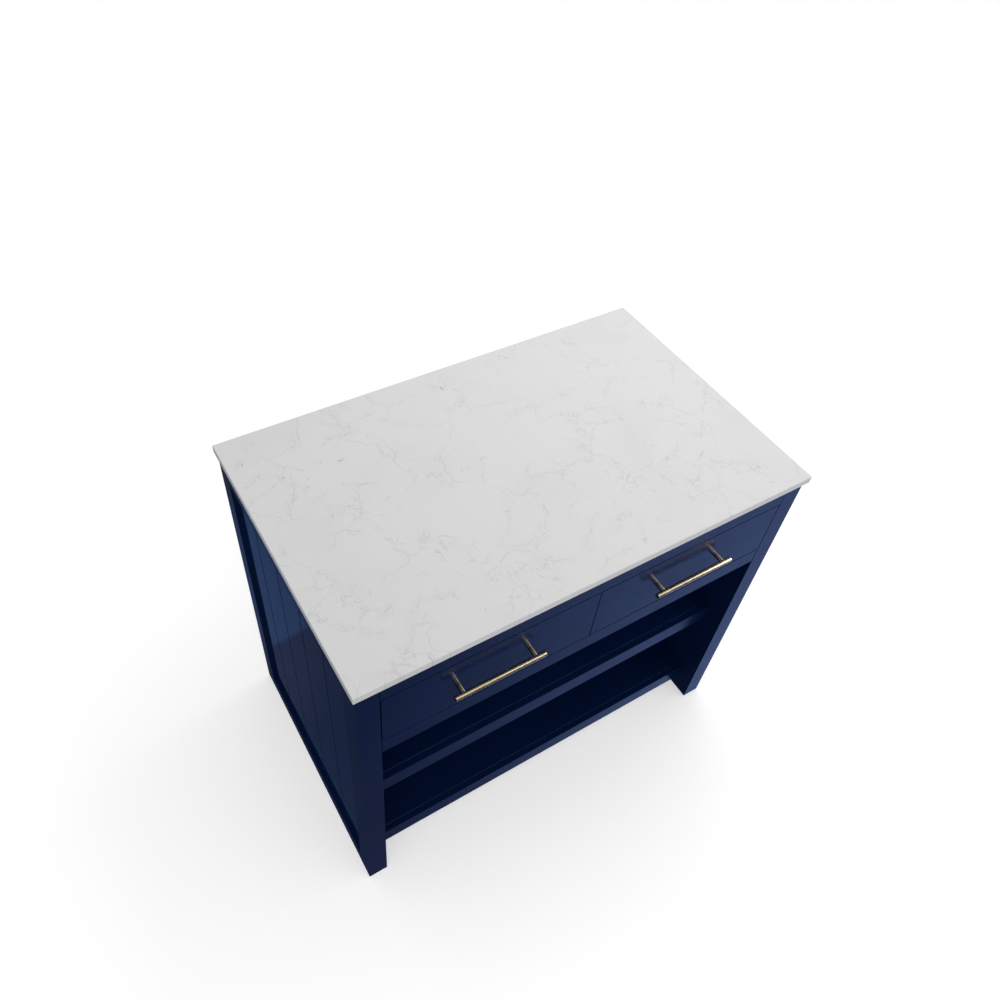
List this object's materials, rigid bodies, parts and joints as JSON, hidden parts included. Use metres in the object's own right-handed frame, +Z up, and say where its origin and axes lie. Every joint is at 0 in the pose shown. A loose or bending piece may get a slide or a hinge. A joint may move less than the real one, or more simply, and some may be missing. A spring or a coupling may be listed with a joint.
{
  "type": "kitchen island",
  "caption": "Freestanding kitchen island: a veined stone top on a painted frame-and-panel cabinet, inset drawers with bar pulls on ball-bearing slides, open shelves below.",
  "frame": {"origin": "on the floor under the middle of the whole outline, pulls included", "axes": "+X to the right-hand side, -Y out of the drawer side, +Z up"},
  "size_m": [1.058, 0.675, 0.914],
  "materials": {
    "quartz": "polished engineered quartz, white with soft grey branching veins, eased edge",
    "navy_paint": "navy satin lacquer over primed board and solid frame, smooth, with soft sheen",
    "birch_box": "clear-lacquered birch plywood",
    "ply_bottom": "thin plywood, clear sealed",
    "bare_wood": "planed softwood, unfinished",
    "satin_brass": "brushed satin brass, turned bar",
    "zinc_steel": "zinc-plated, rolled",
    "nylon": "moulded nylon"
  },
  "bodies": {
    "cabinet": {"back_panel": "navy_paint", "back_rail_base": "navy_paint", "back_rail_top": "navy_paint", "carcass_screws": "zinc_steel", "corner_blocks": "bare_wood", "drawer_deck": "navy_paint", "drawer_deck_cleats": "bare_wood", "drawer_divider": "navy_paint", "face_rail_lower": "navy_paint", "face_rail_top": "navy_paint", "leg_front_left": "navy_paint", "leg_front_right": "navy_paint", "leg_glides": "nylon", "leg_rear_left": "navy_paint", "leg_rear_right": "navy_paint", "shelf_bottom_cleats": "navy_paint", "shelf_bottom_front_rail": "navy_paint", "shelf_bottom_panel": "navy_paint", "shelf_middle_cleats": "navy_paint", "shelf_middle_front_rail": "navy_paint", "shelf_middle_panel": "navy_paint", "side_liner_left": "navy_paint", "side_liner_right": "navy_paint", "side_panel_left": "navy_paint", "side_panel_right": "navy_paint", "side_rail_base_left": "navy_paint", "side_rail_base_right": "navy_paint", "side_rail_top_left": "navy_paint", "side_rail_top_right": "navy_paint", "slide_screws_cabinet": "zinc_steel", "slides_cabinet_left": "zinc_steel", "slides_cabinet_right": "zinc_steel", "stone_top": "quartz"},
    "drawer_left": {"drawer_left_box_back": "birch_box", "drawer_left_box_bottom": "ply_bottom", "drawer_left_box_front": "birch_box", "drawer_left_box_inner": "birch_box", "drawer_left_box_outer": "birch_box", "drawer_left_front": "navy_paint", "drawer_left_screws": "zinc_steel", "pull_left_bar": "satin_brass", "pull_left_posts": "satin_brass", "pull_left_screws": "zinc_steel", "slides_drawer_left": "zinc_steel"},
    "drawer_right": {"drawer_right_box_back": "birch_box", "drawer_right_box_bottom": "ply_bottom", "drawer_right_box_front": "birch_box", "drawer_right_box_inner": "birch_box", "drawer_right_box_outer": "birch_box", "drawer_right_front": "navy_paint", "drawer_right_screws": "zinc_steel", "pull_right_bar": "satin_brass", "pull_right_posts": "satin_brass", "pull_right_screws": "zinc_steel", "slides_drawer_right": "zinc_steel"},
    "slide_middle_left": {"slides_middle_left": "zinc_steel"},
    "slide_middle_right": {"slides_middle_right": "zinc_steel"}
  },
  "joints": [
    {"name": "drawer_left_slide", "type": "slide", "parent": "cabinet", "child": "drawer_left", "axis": [0, -1, 0], "range_m": [0, 0.48]},
    {"name": "slide_middle_left_travel", "type": "slide", "parent": "cabinet", "child": "slide_middle_left", "axis": [0, -1, 0], "range_m": [0, 0.24]},
    {"name": "drawer_right_slide", "type": "slide", "parent": "cabinet", "child": "drawer_right", "axis": [0, -1, 0], "range_m": [0, 0.48]},
    {"name": "slide_middle_right_travel", "type": "slide", "parent": "cabinet", "child": "slide_middle_right", "axis": [0, -1, 0], "range_m": [0, 0.24]}
  ],
  "couplings": [
    {"joint": "slide_middle_left_travel", "follows": "drawer_left_slide", "ratio": 0.5},
    {"joint": "slide_middle_right_travel", "follows": "drawer_right_slide", "ratio": 0.5}
  ]
}
